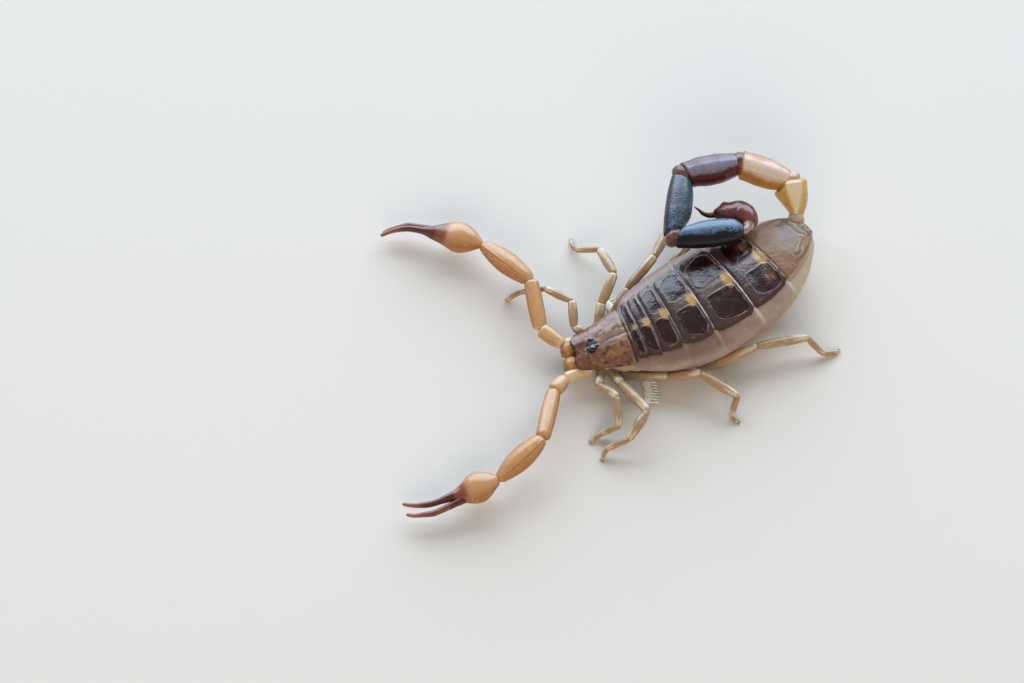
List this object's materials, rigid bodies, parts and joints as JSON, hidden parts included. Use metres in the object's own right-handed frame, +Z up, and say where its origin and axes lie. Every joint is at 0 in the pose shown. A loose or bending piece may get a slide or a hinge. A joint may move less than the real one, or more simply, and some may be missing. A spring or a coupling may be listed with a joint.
{
  "type": "desert scorpion",
  "caption": "Life-size still model of a small desert scorpion at rest, with a swollen abdomen, long slender claws and its tail curled flat over its right side.",
  "frame": {"origin": "bottom centre of the whole animal's bounding box, on the floor that it stands on", "axes": "+Y towards the rear of the trunk (the head looks along -Y), +X towards the animal's left, +Z up"},
  "size_m": [0.0344, 0.0488, 0.0083],
  "materials": {
    "shield": "glossy mottled brown cuticle",
    "plates": "glossy dark brown cuticle",
    "last_plate": "translucent grey brown cuticle",
    "flank_skin": "soft folded skin, satin",
    "legs": "translucent straw cuticle",
    "palps": "translucent amber cuticle",
    "fingers": "red brown cuticle",
    "jaws": "amber cuticle",
    "eyes": "polished black",
    "combs": "whitish cuticle, satin",
    "tail_yellow": "pale yellow cuticle",
    "tail_amber": "amber cuticle",
    "tail_red": "dark red brown cuticle",
    "tail_black": "blue black pitted cuticle",
    "bulb": "red brown cuticle",
    "sting": "dark brown cuticle"
  },
  "bodies": {
    "root": {"carapace": "shield", "head_underside": "legs", "eye_left": "eyes", "eye_right": "eyes", "chelicera_left": "jaws", "chelicera_right": "jaws", "abdomen": "flank_skin", "tergite_1": "plates", "tergite_2": "plates", "tergite_3": "plates", "tergite_4": "plates", "tergite_5": "plates", "tergite_6": "plates", "tergite_7": "last_plate", "pecten_left": "combs", "pecten_right": "combs", "leg_left_1_thigh": "legs", "leg_left_1_shin": "legs", "leg_left_1_foot": "legs", "leg_left_2_thigh": "legs", "leg_left_2_shin": "legs", "leg_left_2_foot": "legs", "leg_left_3_thigh": "legs", "leg_left_3_shin": "legs", "leg_left_3_foot": "legs", "leg_left_4_thigh": "legs", "leg_left_4_shin": "legs", "leg_left_4_foot": "legs", "leg_right_1_thigh": "legs", "leg_right_1_shin": "legs", "leg_right_1_foot": "legs", "leg_right_2_thigh": "legs", "leg_right_2_shin": "legs", "leg_right_2_foot": "legs", "leg_right_3_thigh": "legs", "leg_right_3_shin": "legs", "leg_right_3_foot": "legs", "leg_right_4_thigh": "legs", "leg_right_4_shin": "legs", "leg_right_4_foot": "legs", "palp_left_base": "palps", "palp_left_ring": "palps", "palp_left_arm": "palps", "palp_left_forearm": "palps", "palp_left_hand": "palps", "palp_left_finger_moving": "fingers", "palp_right_base": "palps", "palp_right_ring": "palps", "palp_right_arm": "palps", "palp_right_forearm": "palps", "palp_right_hand": "palps", "palp_right_finger_moving": "fingers", "tail_1": "tail_yellow", "tail_2": "tail_amber", "tail_3": "tail_red", "tail_4": "tail_black", "tail_5": "tail_black", "sting_bulb": "bulb", "sting_point": "sting"}
  },
  "joints": []
}
